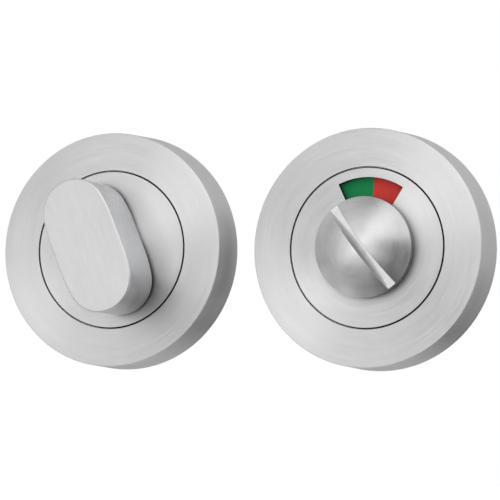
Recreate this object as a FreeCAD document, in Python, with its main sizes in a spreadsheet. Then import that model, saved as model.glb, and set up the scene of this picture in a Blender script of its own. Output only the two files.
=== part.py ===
import FreeCAD, Part
import math
import os

import Sketcher

# Bathroom thumb turn lock: two round roses for the two sides of a door.
# The inside half carries the thumb turn, the outside half the coin release and its indicator.
# Frame: +X right, +Z up, +Y into the door. The door's face is the plane y = 0, the fronts face -Y,
# and the origin is on the thumb turn's axis. A height below is the distance from the door's face
# towards the front, so a height of 10 is y = -10.

Vector = FreeCAD.Vector

# Name, size in millimetres or degrees, and what it is. Each size is set here and nowhere else.
SIZES = [
    ("halfGap", 7.5, "between the two halves where they stand side by side"),
    ("roseDepth", 10.0, "from the door's face to the front of the rose"),
    ("roseBackRadius", 26.0, "cover rose at the door"),
    ("roseTaper", 0.3, "how much smaller that radius is at the front edge"),
    ("coverSideWall", 1.7, "side wall of the cover rose at the door"),
    ("coverFaceWall", 1.0, "front wall of the cover rose"),
    ("threadPlay", 0.05, "between the base and the screwed wall of the cover rose"),
    ("lineRadius", 17.3, "middle of the fine gap between ring and plate"),
    ("lineWidth", 0.36, "width of the fine gap"),
    ("plateFlangeReach", 1.42, "flange of the centre plate outside the fine gap, clamped by the cover rose"),
    ("plateFlange", 0.5, "thickness of the flange"),
    ("plateHolePlay", 0.25, "around the neck in the plate's hole"),
    ("baseRimHeight", 4.0, "thickness of the base at its rim"),
    ("hubWall", 2.4, "ring of the base that carries the centre plate"),
    ("hubBoreWall", 1.6, "hub around the bush, seen from the back"),
    ("backPocketDepth", 2.2, "cast pockets in the back of the base"),
    ("backRimWall", 2.0, "rim of the base around the pockets"),
    ("ribWidth", 1.2, "ribs between the pockets"),
    ("ribCount", 6, "ribs between the pockets"),
    ("screwInset", 2.485, "fixing hole inside the middle between the hub and the rim"),
    ("screwHoleRadius", 2.15, "clearance hole for M4"),
    ("screwBossInset", 0.5, "from the rim of the base to the boss around the hole"),
    ("driverPocketRadius", 4.7, "room in the hub wall for the screw's head"),
    ("circlipRecessRadius", 9.2, "recess in the back for washers and circlip"),
    ("circlipRecessDepth", 2.9, "depth of that recess"),
    ("bushWall", 2.0, "wall of the bush"),
    ("bushStand", 0.7, "front of the bush above the floor of the hub"),
    ("fitPlay", 0.02, "around what is pressed or pushed in"),
    ("bearingPlay", 0.05, "running play between shank and bush"),
    ("axialPlay", 0.2, "between turning parts and what carries them"),
    ("shankRadius", 5.0, "shank of either turn"),
    ("shankEndHeight", 0.2, "back end of the shank"),
    ("grooveDepth", 0.45, "circlip groove in the shank"),
    ("circlipHeight", 0.8, "back face of the circlip"),
    ("circlipThickness", 0.8, "circlip"),
    ("circlipRingWidth", 1.5, "circlip opposite its gap"),
    ("circlipTipWidth", 0.9, "circlip beside its lugs"),
    ("circlipLugRadius", 1.25, "lugs at the circlip's ends"),
    ("circlipLugHoleRadius", 0.6, "holes for the pliers"),
    ("circlipGapAngle", 50.0, "angle between the middles of the two lugs"),
    ("thrustWasherThickness", 0.4, "flat washer against the circlip"),
    ("washerOuterRadius", 7.3, "flat washer and spring washer"),
    ("washerInnerPlay", 0.25, "around the shank in the washers"),
    ("springThickness", 0.3, "sheet of the spring washer"),
    ("knobLength", 30.11, "thumb turn from nose to nose"),
    ("knobWidth", 15.46, "thumb turn across its flat sides"),
    ("knobProjection", 23.1, "front of the thumb turn above the door"),
    ("knobGap", 0.8, "under the thumb turn"),
    ("knobNoseRadius", 7.31, "rounded ends of the thumb turn"),
    ("knobShoulderRadius", 27.0, "flatter arcs beside the ends"),
    ("knobEdge", 0.4, "broken front edge of the thumb turn"),
    ("knobNeckRadius", 6.4, "neck under the thumb turn"),
    ("knobTurn", 23.3, "thumb turn's top tipped towards -X from upright"),
    ("releaseRadius", 10.84, "coin release at its rim"),
    ("releaseGap", 0.47, "under the coin release"),
    ("releaseBand", 2.0, "straight band of the coin release"),
    ("releaseCrown", 3.22, "dome above the band"),
    ("releaseNeckRadius", 7.0, "neck under the coin release"),
    ("coinSlotWidth", 2.0, "slot across the dome"),
    ("releaseTurn", 38.7, "slot's top tipped towards -X from upright"),
    ("windowMargin", 0.4, "indicator disc hidden outside the window"),
    ("windowInnerRadius", 9.37, "inner edge of the window, under the dome"),
    ("windowHalfAngle", 28.8, "from the window's middle to either end"),
    ("windowTurn", 3.0, "window's middle tipped towards +X from the top"),
    ("colourDepth", 2.0, "from the plate's front to the colours"),
    ("colourThickness", 0.1, "enamelled fields"),
    ("colourSweep", 90.0, "angle of each field"),
    ("indicatorThickness", 1.0, "disc under the fields"),
    ("indicatorWallPlay", 0.8, "around the indicator disc"),
    ("spigotRadius", 5.9, "keyed step that carries the indicator disc"),
    ("spigotFlat", 5.1, "from the axis to either flat of the step"),
    ("colourInnerRadius", 8.4, "inner edge of the fields"),
    ("colourMargin", 0.3, "bare rim outside the fields"),
    ("spindleWidth", 5.0, "square bar across its flats"),
    ("spindleInset", 15.0, "square bar in front of the door's face"),
    ("spindleReach", 45.0, "square bar behind the door's face"),
    ("spindleChamfer", 0.7, "ends of the bar"),
    ("socketPlay", 0.05, "on each side of the bar in its socket"),
    ("releaseSocketDepth", 10.0, "blind square socket of the coin release"),
    ("pinRadius", 1.0, "spring pin"),
    ("pinWall", 0.4, "sheet of the spring pin"),
    ("pinSlot", 0.5, "slot along the spring pin"),
    ("pinInset", 0.2, "ends of the pin below the shank's surface"),
]

document = FreeCAD.newDocument("BathroomThumbTurnLock")
sheet = document.addObject("Spreadsheet::Sheet", "Sizes")
for row, (alias, size, meaning) in enumerate(SIZES, start=1):
    sheet.set(f"A{row}", meaning)
    sheet.set(f"B{row}", str(size))
    sheet.setAlias(f"B{row}", alias)
document.recompute()

ORIGIN_POINT = (-1, 1)
parts = []


def sized(text):
    """The expression with the sheet's name before each size's name."""
    names = {alias for alias, size, meaning in SIZES}
    words = []
    word = ""
    for letter in text + " ":
        if letter.isalnum():
            word += letter
            continue
        words.append(f"Sizes.{word}" if word in names else word)
        words.append(letter)
        word = ""
    return "".join(words).strip()


def number(text):
    """The expression's present value, in millimetres or degrees."""
    found = sheet.evalExpression(sized(str(text)))
    return float(getattr(found, "Value", found))


# Places, heights and radii that follow from the sizes.
HALF_SPACING = "(2 * roseBackRadius + halfGap)"
FLANGE_RADIUS = "(lineRadius + plateFlangeReach)"
FACE = "roseDepth"
FRONT_RADIUS = "(roseBackRadius - roseTaper)"
COVER_INNER = "(roseBackRadius - coverSideWall)"
BASE_RIM = f"({COVER_INNER} - threadPlay)"
SCREW_PLACE = f"(({BASE_RIM} + {FLANGE_RADIUS}) / 2 - screwInset)"
LIP_UNDER = "(roseDepth - coverFaceWall)"
SEAT = "(roseDepth - coverFaceWall - plateFlange)"
OPENING = "(lineRadius + lineWidth / 2)"
PLATE_RADIUS = "(lineRadius - lineWidth / 2)"
DISC_TOP = "(roseDepth - colourDepth - colourThickness)"
DISC_UNDER = "(roseDepth - colourDepth - colourThickness - indicatorThickness)"
BUSH_FRONT = f"({DISC_UNDER} - axialPlay)"
HUB_FLOOR = f"({BUSH_FRONT} - bushStand)"
HUB_INNER = f"({FLANGE_RADIUS} - hubWall)"
BUSH_BORE = "(shankRadius + bearingPlay)"
BUSH_OUTER = "(shankRadius + bearingPlay + bushWall)"
HUB_BORE = f"({BUSH_OUTER} + fitPlay)"
DISC_RADIUS = f"({HUB_INNER} - indicatorWallPlay)"
WINDOW_OUTER = f"({DISC_RADIUS} - windowMargin)"
GROOVE_RADIUS = "(shankRadius - grooveDepth)"
THRUST_BACK = "(circlipHeight + circlipThickness)"
THRUST_FRONT = f"({THRUST_BACK} + thrustWasherThickness)"
KNOB_UNDER = "(roseDepth + knobGap)"
RIM_UNDER = "(roseDepth + releaseGap)"
RIM_TOP = f"({RIM_UNDER} + releaseBand)"
CROWN_TOP = f"({RIM_TOP} + releaseCrown)"
CROWN_RADIUS = "((releaseRadius ^ 2 + releaseCrown ^ 2) / (2 * releaseCrown))"
SOCKET_HALF = "(spindleWidth / 2 + socketPlay)"
PIN_HEIGHT = f"(({BUSH_FRONT} + circlipRecessDepth) / 2)"

INSIDE = "placement(vector(0; 0; 0); rotation(vector(0; 1; 0); 0))"
INSIDE_TURNED = "placement(vector(0; 0; 0); rotation(vector(0; 1; 0); -knobTurn))"
OUTSIDE = f"placement(vector({HALF_SPACING}; 0; 0); rotation(vector(0; 1; 0); 0))"
OUTSIDE_WINDOW = f"placement(vector({HALF_SPACING}; 0; 0); rotation(vector(0; 1; 0); windowTurn))"
OUTSIDE_TURNED = f"placement(vector({HALF_SPACING}; 0; 0); rotation(vector(0; 1; 0); -releaseTurn))"


def new_body(label, place):
    """An empty body with its label and its place in the lock."""
    body = document.addObject("PartDesign::Body", label.title().replace("_", ""))
    body.Label = label
    body.setExpression("Placement", sized(place))
    parts.append(body)
    return body


def new_sketch(body, name, role, height="0"):
    """A sketch on one of the body's own planes; a height moves an XZ sketch towards the front."""
    sketch = body.newObject("Sketcher::SketchObject", name)
    plane = next(item for item in body.Origin.OriginFeatures if item.Role == role)
    sketch.AttachmentSupport = [(plane, "")]
    sketch.MapMode = "FlatFace"
    sketch.setExpression("AttachmentOffset.Base.z", sized(height))
    return sketch


def constrain(sketch, expression, *what):
    """One dimension of a sketch, tied to its expression."""
    index = sketch.addConstraint(Sketcher.Constraint(*what, number(expression)))
    sketch.setExpression(f"Constraints[{index}]", sized(expression))


def arc_between(start, end, radius, turn):
    """Arc from start to end; turn is +1 with the centre on the left of the way, -1 on the right."""
    middle = (start + end) * 0.5
    way = end - start
    off = math.sqrt(max(radius ** 2 - (way.Length / 2) ** 2, 0.0))
    side = Vector(-way.y, way.x, 0).normalize()
    centre = middle + side * (off * turn)
    circle = Part.Circle(centre, Vector(0, 0, 1), radius)
    first, last = (start, end) if turn > 0 else (end, start)
    return Part.ArcOfCircle(circle, circle.parameter(first), circle.parameter(last))


def draw_profile(sketch, corners, arcs=None):
    """Closed outline through the corners, each an (x, y) pair of expressions.

    arcs holds, for the stretch after a corner, a (radius, turn) pair; other stretches are straight.
    """
    arcs = arcs or {}
    points = [Vector(number(x), number(y), 0) for x, y in corners]
    ends = []
    for index, start in enumerate(points):
        end = points[(index + 1) % len(points)]
        if index in arcs:
            radius, turn = arcs[index]
            edge = sketch.addGeometry(arc_between(start, end, number(radius), turn), False)
            ends.append((edge, 1, 2) if turn > 0 else (edge, 2, 1))
        else:
            edge = sketch.addGeometry(Part.LineSegment(start, end), False)
            ends.append((edge, 1, 2))
    for index, (edge, first, last) in enumerate(ends):
        following, following_first, following_last = ends[(index + 1) % len(ends)]
        sketch.addConstraint(Sketcher.Constraint("Coincident", edge, last, following, following_first))
    for index, (edge, first, last) in enumerate(ends):
        constrain(sketch, corners[index][0], "DistanceX", *ORIGIN_POINT, edge, first)
        constrain(sketch, corners[index][1], "DistanceY", *ORIGIN_POINT, edge, first)
        if index in arcs:
            constrain(sketch, arcs[index][0], "Radius", edge)


def draw_circle(sketch, radius, x="0", y="0"):
    """A circle with its centre at x, y."""
    centre = Vector(number(x), number(y), 0)
    edge = sketch.addGeometry(Part.Circle(centre, Vector(0, 0, 1), number(radius)), False)
    constrain(sketch, radius, "Radius", edge)
    constrain(sketch, x, "DistanceX", *ORIGIN_POINT, edge, 3)
    constrain(sketch, y, "DistanceY", *ORIGIN_POINT, edge, 3)


def draw_rectangle(sketch, left, right, bottom, top):
    """A rectangle between four expressions."""
    draw_profile(sketch, [(left, bottom), (right, bottom), (right, top), (left, top)])


def turned(body, name, profile, arcs=None):
    """Solid of revolution about the body's Y axis; the profile is (radius, height) pairs."""
    sketch = new_sketch(body, f"{name}Profile", "XY_Plane")
    draw_profile(sketch, [(radius, f"-{height}") for radius, height in profile], arcs)
    feature = body.newObject("PartDesign::Revolution", name)
    feature.Profile = sketch
    feature.ReferenceAxis = (sketch, ["V_Axis"])
    feature.Angle = 360
    document.recompute()
    return feature


def padded(body, name, sketch, length, **options):
    """The sketch's outline raised along its normal."""
    feature = body.newObject("PartDesign::Pad", name)
    feature.Profile = sketch
    feature.setExpression("Length", sized(length))
    for option, setting in options.items():
        setattr(feature, option, setting)
    document.recompute()
    return feature


def pocketed(body, name, sketch, length, **options):
    """The sketch's outline cut out, and a check that the cut removed something."""
    before = body.Shape.Volume
    feature = body.newObject("PartDesign::Pocket", name)
    feature.Profile = sketch
    feature.setExpression("Length", sized(length))
    for option, setting in options.items():
        setattr(feature, option, setting)
    document.recompute()
    if body.Shape.Volume >= before:
        raise RuntimeError(f"{name} cuts nothing")
    return feature


def edges_where(body, wanted):
    """Names of the body's edges for which wanted says yes."""
    own = body.Tip.Shape
    return [f"Edge{index}" for index, edge in enumerate(own.Edges, start=1) if wanted(edge)]


def flat_edge_at(height):
    """Test for an edge that lies all in the plane at that height."""
    def wanted(edge):
        box = edge.BoundBox
        level = -number(height)
        return abs(box.YMin - level) < 1e-4 and abs(box.YMax - level) < 1e-4
    return wanted


def dressed(body, name, wanted, size):
    """Chamfer on the body's edges for which wanted says yes."""
    edges = edges_where(body, wanted)
    base = body.Tip
    feature = body.newObject("PartDesign::Chamfer", name)
    feature.Base = (base, edges)
    feature.setExpression("Size", sized(size))
    document.recompute()
    return feature


def make_cover_rose(label, place):
    """Turned cover: a slightly tapered ring with a lip in front and a hollow back."""
    body = new_body(label, place)
    profile = [
        (COVER_INNER, "0"),
        ("roseBackRadius", "0"),
        (FRONT_RADIUS, FACE),
        (OPENING, FACE),
        (OPENING, LIP_UNDER),
        (COVER_INNER, LIP_UNDER),
    ]
    turned(body, f"{label}_ring", profile)


def make_centre_plate(label, place, neck_radius):
    """Round plate flush with the cover, with a clamped flange and a hole for the neck."""
    body = new_body(label, place)
    hole = f"({neck_radius} + plateHolePlay)"
    profile = [
        (hole, SEAT),
        (FLANGE_RADIUS, SEAT),
        (FLANGE_RADIUS, LIP_UNDER),
        (PLATE_RADIUS, LIP_UNDER),
        (PLATE_RADIUS, FACE),
        (hole, FACE),
    ]
    turned(body, f"{label}_disc", profile)
    return body


def draw_sector(sketch, inner, outer, first, last):
    """Sector of a ring, with its angles counted from +X towards +Z."""
    corners = [
        (f"{inner} * cos({last})", f"{inner} * sin({last})"),
        (f"{inner} * cos({first})", f"{inner} * sin({first})"),
        (f"{outer} * cos({first})", f"{outer} * sin({first})"),
        (f"{outer} * cos({last})", f"{outer} * sin({last})"),
    ]
    draw_profile(sketch, corners, {0: (inner, -1), 2: (outer, 1)})


def make_window_plate(label, place):
    """Centre plate of the outside half with its curved window over the coin release."""
    body = make_centre_plate(label, place, "releaseNeckRadius")
    sketch = new_sketch(body, f"{label}_window_outline", "XZ_Plane", SEAT)
    draw_sector(
        sketch, "windowInnerRadius", WINDOW_OUTER,
        "(90 - windowHalfAngle)", "(90 + windowHalfAngle)",
    )
    pocketed(body, f"{label}_window", sketch, f"({FACE} - {SEAT})", Reversed=True)


def make_base_rose(label, place):
    """Cast base: screwed rim, hub with its seats, ribbed back and two fixing holes."""
    body = new_body(label, place)
    pocket_outer = f"({BASE_RIM} - backRimWall)"
    pocket_inner = "(circlipRecessRadius + hubBoreWall)"
    profile = [
        (HUB_BORE, "circlipRecessDepth"),
        ("circlipRecessRadius", "circlipRecessDepth"),
        ("circlipRecessRadius", "0"),
        (pocket_inner, "0"),
        (pocket_inner, "backPocketDepth"),
        (pocket_outer, "backPocketDepth"),
        (pocket_outer, "0"),
        (BASE_RIM, "0"),
        (BASE_RIM, "baseRimHeight"),
        (FLANGE_RADIUS, "baseRimHeight"),
        (FLANGE_RADIUS, SEAT),
        (HUB_INNER, SEAT),
        (HUB_INNER, HUB_FLOOR),
        (HUB_BORE, HUB_FLOOR),
    ]
    turned(body, f"{label}_casting", profile)

    rib = new_sketch(body, f"{label}_rib_outline", "XZ_Plane")
    middle_wall = f"({pocket_inner} - hubBoreWall / 2)"
    middle_rim = f"({pocket_outer} + backRimWall / 2)"
    draw_rectangle(rib, middle_wall, middle_rim, "-ribWidth / 2", "ribWidth / 2")
    first_rib = padded(body, f"{label}_rib", rib, "backPocketDepth")
    ribs = body.newObject("PartDesign::PolarPattern", f"{label}_ribs")
    ribs.Originals = [first_rib]
    ribs.Axis = (rib, ["N_Axis"])
    ribs.Angle = 360
    ribs.setExpression("Occurrences", sized("ribCount"))
    body.Tip = ribs
    document.recompute()

    bosses = new_sketch(body, f"{label}_boss_outlines", "XZ_Plane")
    pockets = new_sketch(body, f"{label}_driver_outlines", "XZ_Plane", "baseRimHeight")
    holes = new_sketch(body, f"{label}_hole_outlines", "XZ_Plane")
    for side in (SCREW_PLACE, f"-{SCREW_PLACE}"):
        draw_circle(bosses, f"({BASE_RIM} - {SCREW_PLACE} - screwBossInset)", side)
        draw_circle(pockets, "driverPocketRadius", side)
        draw_circle(holes, "screwHoleRadius", side)
    padded(body, f"{label}_bosses", bosses, "backPocketDepth")
    pocketed(body, f"{label}_driver_pockets", pockets, f"({SEAT} - baseRimHeight)", Reversed=True)
    pocketed(body, f"{label}_holes", holes, "baseRimHeight", Reversed=True)


def make_bush(label, place):
    """Plastic bearing sleeve, pressed into the base."""
    body = new_body(label, place)
    profile = [
        (BUSH_BORE, "circlipRecessDepth"),
        (BUSH_OUTER, "circlipRecessDepth"),
        (BUSH_OUTER, BUSH_FRONT),
        (BUSH_BORE, BUSH_FRONT),
    ]
    turned(body, f"{label}_sleeve", profile)


def make_thrust_washer(label, place):
    """Flat washer in front of the circlip."""
    body = new_body(label, place)
    inner = "(shankRadius + washerInnerPlay)"
    profile = [
        (inner, THRUST_BACK),
        ("washerOuterRadius", THRUST_BACK),
        ("washerOuterRadius", THRUST_FRONT),
        (inner, THRUST_FRONT),
    ]
    turned(body, f"{label}_ring", profile)


def make_circlip(label, place):
    """External circlip: a ring that narrows towards its gap, with two lugs and their holes."""
    body = new_body(label, place)
    inner = f"({GROOVE_RADIUS} + fitPlay)"
    outer = f"({inner} + (circlipRingWidth + circlipTipWidth) / 2)"
    shift = "(circlipTipWidth - circlipRingWidth) / 2"
    ring = new_sketch(body, f"{label}_ring_outline", "XZ_Plane", "circlipHeight")
    draw_circle(ring, outer, "0", shift)
    draw_circle(ring, inner)
    padded(body, f"{label}_ring", ring, "circlipThickness")

    lug_way = f"({inner} + circlipLugRadius)"
    lug_x = f"{lug_way} * sin(circlipGapAngle / 2)"
    lug_y = f"{lug_way} * cos(circlipGapAngle / 2)"
    for side in ("", "-"):
        name = "left" if side else "right"
        lug = new_sketch(body, f"{label}_{name}_lug_outline", "XZ_Plane", "circlipHeight")
        draw_circle(lug, "circlipLugRadius", side + lug_x, lug_y)
        padded(body, f"{label}_{name}_lug", lug, "circlipThickness")
        eye = new_sketch(body, f"{label}_{name}_eye_outline", "XZ_Plane", "circlipHeight")
        draw_circle(eye, "circlipLugHoleRadius", side + lug_x, lug_y)
        pocketed(body, f"{label}_{name}_eye", eye, "circlipThickness", Reversed=True)
    gap = new_sketch(body, f"{label}_gap_outline", "XZ_Plane", "circlipHeight")
    half_gap = f"({lug_x} - circlipLugRadius)"
    draw_rectangle(gap, f"-{half_gap}", half_gap, "0", f"({outer} + circlipLugRadius)")
    pocketed(body, f"{label}_gap", gap, "circlipThickness", Reversed=True)


def make_spring_washer(label, place):
    """Curved spring washer: a sheet bent to one arc and cut to a ring, its crown against the bush."""
    body = new_body(label, place)
    sag = f"(circlipRecessDepth - {THRUST_FRONT} - axialPlay / 2 - springThickness)"
    back_radius = f"((washerOuterRadius ^ 2 + {sag} ^ 2) / (2 * {sag}))"
    front_radius = f"({back_radius} + springThickness)"
    centre = f"(circlipRecessDepth - {front_radius})"
    reach = "(washerOuterRadius + springThickness)"
    front = f"-({centre} + sqrt({front_radius} ^ 2 - {reach} ^ 2))"
    back = f"-({centre} + sqrt({back_radius} ^ 2 - {reach} ^ 2))"
    sheet_outline = new_sketch(body, f"{label}_sheet_outline", "XY_Plane")
    corners = [(f"-{reach}", front), (reach, front), (reach, back), (f"-{reach}", back)]
    draw_profile(sheet_outline, corners, {0: (front_radius, 1), 2: (back_radius, -1)})
    padded(body, f"{label}_sheet", sheet_outline, f"(2 * {reach})", Midplane=True)
    waste = new_sketch(body, f"{label}_waste_outline", "XZ_Plane")
    far = f"(2 * {reach})"
    draw_rectangle(waste, f"-{far}", far, f"-{far}", far)
    draw_circle(waste, "washerOuterRadius")
    draw_circle(waste, "(shankRadius + washerInnerPlay)")
    pocketed(body, f"{label}_ring", waste, "circlipRecessDepth", Reversed=True)


def cut_socket(body, label, depth):
    """Blind square socket from the shank's back end."""
    socket = new_sketch(body, f"{label}_socket_outline", "XZ_Plane", "shankEndHeight")
    draw_rectangle(socket, f"-{SOCKET_HALF}", SOCKET_HALF, f"-{SOCKET_HALF}", SOCKET_HALF)
    pocketed(body, f"{label}_socket", socket, depth, Reversed=True)


def shank_profile(shoulder):
    """Profile of a shank from its shoulder back to its end, with the circlip groove."""
    groove_front = f"({THRUST_BACK} + fitPlay)"
    groove_back = "(circlipHeight - fitPlay)"
    return [
        ("shankRadius", shoulder),
        ("shankRadius", groove_front),
        (GROOVE_RADIUS, groove_front),
        (GROOVE_RADIUS, groove_back),
        ("shankRadius", groove_back),
        ("shankRadius", "shankEndHeight"),
        ("0", "shankEndHeight"),
    ]


def draw_knob_outline(sketch):
    """Long outline with straight sides, flatter shoulder arcs and round noses, all tangent."""
    half_width = number("knobWidth / 2")
    nose = number("knobNoseRadius")
    shoulder = number("knobShoulderRadius")
    nose_centre = number("knobLength / 2 - knobNoseRadius")
    rise = math.sqrt((shoulder - nose) ** 2 - (shoulder - half_width) ** 2)
    level = nose_centre - rise
    meet = math.atan2(rise, shoulder - half_width)
    up = Vector(0, 0, 1)

    def arc(x, y, radius, first, last):
        """Arc about x, y between two angles, anticlockwise."""
        circle = Part.Circle(Vector(x, y, 0), up, radius)
        return sketch.addGeometry(Part.ArcOfCircle(circle, first, last), False)

    def side(x, start, end):
        """Straight side at x."""
        return sketch.addGeometry(Part.LineSegment(Vector(x, start, 0), Vector(x, end, 0)), False)

    inset = shoulder - half_width
    chain = [
        side(half_width, -level, level),
        arc(-inset, level, shoulder, 0, meet),
        arc(0, nose_centre, nose, meet, math.pi - meet),
        arc(inset, level, shoulder, math.pi - meet, math.pi),
        side(-half_width, level, -level),
        arc(inset, -level, shoulder, math.pi, math.pi + meet),
        arc(0, -nose_centre, nose, math.pi + meet, 2 * math.pi - meet),
        arc(-inset, -level, shoulder, 2 * math.pi - meet, 2 * math.pi),
    ]
    for edge, following in zip(chain, chain[1:] + chain[:1]):
        sketch.addConstraint(Sketcher.Constraint("Tangent", edge, 2, following, 1))
    for edge in (chain[1], chain[3], chain[5], chain[7]):
        constrain(sketch, "knobShoulderRadius", "Radius", edge)
    for edge, place in ((chain[2], ""), (chain[6], "-")):
        constrain(sketch, "knobNoseRadius", "Radius", edge)
        constrain(sketch, "0", "DistanceX", *ORIGIN_POINT, edge, 3)
        constrain(sketch, f"{place}(knobLength / 2 - knobNoseRadius)", "DistanceY", *ORIGIN_POINT, edge, 3)
    for edge, place in ((chain[0], ""), (chain[4], "-")):
        sketch.addConstraint(Sketcher.Constraint("Vertical", edge))
        constrain(sketch, f"{place}(knobWidth / 2)", "DistanceX", *ORIGIN_POINT, edge, 1)


def cut_pin_hole(body, label, half_length):
    """Round hole across the shank or the bar for the spring pin."""
    hole = new_sketch(body, f"{label}_pin_hole_outline", "YZ_Plane")
    draw_circle(hole, "(pinRadius + fitPlay)", f"-{PIN_HEIGHT}", "0")
    pocketed(body, f"{label}_pin_hole", hole, f"(2 * {half_length})", Midplane=True)


def make_thumb_turn(label, place):
    """Knob, neck and shank in one piece, with a square socket and a cross hole for the pin."""
    body = new_body(label, place)
    shoulder = BUSH_FRONT + " + axialPlay"
    profile = [
        ("0", f"({KNOB_UNDER} + knobGap)"),
        ("knobNeckRadius", f"({KNOB_UNDER} + knobGap)"),
        ("knobNeckRadius", f"({shoulder})"),
    ] + shank_profile(f"({shoulder})")
    turned(body, f"{label}_shank", profile)
    outline = new_sketch(body, f"{label}_knob_outline", "XZ_Plane", KNOB_UNDER)
    draw_knob_outline(outline)
    padded(body, f"{label}_knob", outline, f"(knobProjection - {KNOB_UNDER})")
    cut_socket(body, label, "(spindleInset + axialPlay)")
    cut_pin_hole(body, label, "shankRadius")
    dressed(body, f"{label}_front_edge", flat_edge_at("knobProjection"), "knobEdge")


def make_coin_release(label, place):
    """Slotted dome, neck and shank in one piece, with a keyed step for the indicator disc."""
    body = new_body(label, place)
    profile = [
        ("0", CROWN_TOP),
        ("releaseRadius", RIM_TOP),
        ("releaseRadius", RIM_UNDER),
        ("releaseNeckRadius", RIM_UNDER),
        ("releaseNeckRadius", DISC_TOP),
        ("spigotRadius", DISC_TOP),
        ("spigotRadius", DISC_UNDER),
    ] + shank_profile(DISC_UNDER)
    turned(body, f"{label}_shank", profile, {0: (CROWN_RADIUS, 1)})

    slot = new_sketch(body, f"{label}_slot_outline", "XZ_Plane", RIM_TOP)
    reach = "(2 * releaseRadius)"
    draw_rectangle(slot, "-coinSlotWidth / 2", "coinSlotWidth / 2", f"-{reach}", reach)
    pocketed(body, f"{label}_slot", slot, "releaseCrown", Reversed=True)

    flats = new_sketch(body, f"{label}_flat_outlines", "XZ_Plane", DISC_UNDER)
    far = "(2 * spigotRadius)"
    draw_rectangle(flats, "spigotFlat", far, f"-{far}", far)
    draw_rectangle(flats, f"-{far}", "-spigotFlat", f"-{far}", far)
    pocketed(body, f"{label}_flats", flats, "indicatorThickness", Reversed=True)
    cut_socket(body, label, "releaseSocketDepth")


def make_indicator_disc(label, place):
    """Round carrier of the colours, with a hole that has two flats."""
    body = new_body(label, place)
    hole = "(spigotRadius + fitPlay)"
    flat = "(spigotFlat + fitPlay)"
    chord = f"sqrt({hole} ^ 2 - {flat} ^ 2)"
    sketch = new_sketch(body, f"{label}_outline", "XZ_Plane", DISC_UNDER)
    draw_circle(sketch, DISC_RADIUS)
    corners = [(flat, f"-{chord}"), (flat, chord), (f"-{flat}", chord), (f"-{flat}", f"-{chord}")]
    draw_profile(sketch, corners, {1: (hole, 1), 3: (hole, 1)})
    padded(body, f"{label}_disc", sketch, "indicatorThickness")


def make_colour_field(label, place, first, last):
    """Thin enamelled field on the disc, a sector between two angles from the slot's line."""
    body = new_body(label, place)
    sketch = new_sketch(body, f"{label}_outline", "XZ_Plane", DISC_TOP)
    draw_sector(sketch, "colourInnerRadius", f"({DISC_RADIUS} - colourMargin)", first, last)
    padded(body, f"{label}_layer", sketch, "colourThickness")


def make_spindle(label, place):
    """Square bar with chamfered ends and a cross hole for the pin."""
    body = new_body(label, place)
    half = "(spindleWidth / 2)"
    sketch = new_sketch(body, f"{label}_outline", "XZ_Plane", "(-spindleReach)")
    draw_rectangle(sketch, f"-{half}", half, f"-{half}", half)
    padded(body, f"{label}_bar", sketch, "(spindleInset + spindleReach)")
    back = flat_edge_at("(-spindleReach)")
    front = flat_edge_at("spindleInset")
    dressed(body, f"{label}_ends", lambda edge: back(edge) or front(edge), "spindleChamfer")
    cut_pin_hole(body, label, "spindleWidth")


def make_spindle_pin(label, place):
    """Slotted spring pin across the shank, rolled from sheet."""
    body = new_body(label, place)
    inner = "(pinRadius - pinWall)"
    half = "(pinSlot / 2)"
    outer_x = f"sqrt(pinRadius ^ 2 - {half} ^ 2)"
    inner_x = f"sqrt({inner} ^ 2 - {half} ^ 2)"
    sketch = new_sketch(body, f"{label}_outline", "YZ_Plane")
    corners = [
        (f"({outer_x} - {PIN_HEIGHT})", half),
        (f"(-{PIN_HEIGHT} - pinRadius)", "0"),
        (f"({outer_x} - {PIN_HEIGHT})", f"-{half}"),
        (f"({inner_x} - {PIN_HEIGHT})", f"-{half}"),
        (f"(-{PIN_HEIGHT} - {inner})", "0"),
        (f"({inner_x} - {PIN_HEIGHT})", half),
    ]
    arcs = {0: ("pinRadius", 1), 1: ("pinRadius", 1), 3: (inner, -1), 4: (inner, -1)}
    draw_profile(sketch, corners, arcs)
    padded(body, f"{label}_sleeve", sketch, "(2 * (shankRadius - pinInset))", Midplane=True)


def make_lock():
    """Every piece of the lock, the inside half first."""
    for side, still, turning in (("inside", INSIDE, INSIDE_TURNED), ("outside", OUTSIDE, OUTSIDE_TURNED)):
        make_cover_rose(f"{side}_cover_rose", still)
        make_base_rose(f"{side}_base_rose", still)
        make_bush(f"{side}_bush", still)
        make_spring_washer(f"{side}_spring_washer", still)
        make_thrust_washer(f"{side}_thrust_washer", turning)
        make_circlip(f"{side}_circlip", turning)
    make_centre_plate("inside_centre_plate", INSIDE, "knobNeckRadius")
    make_window_plate("outside_window_plate", OUTSIDE_WINDOW)
    make_thumb_turn("thumb_turn", INSIDE_TURNED)
    make_spindle("spindle", INSIDE_TURNED)
    make_spindle_pin("spindle_pin", INSIDE_TURNED)
    make_coin_release("coin_release", OUTSIDE_TURNED)
    make_indicator_disc("indicator_disc", OUTSIDE_TURNED)
    make_colour_field("green_field", OUTSIDE_WINDOW, "90", "(90 + colourSweep)")
    make_colour_field("red_field", OUTSIDE_WINDOW, "(90 - colourSweep)", "90")
    document.recompute()


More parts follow.
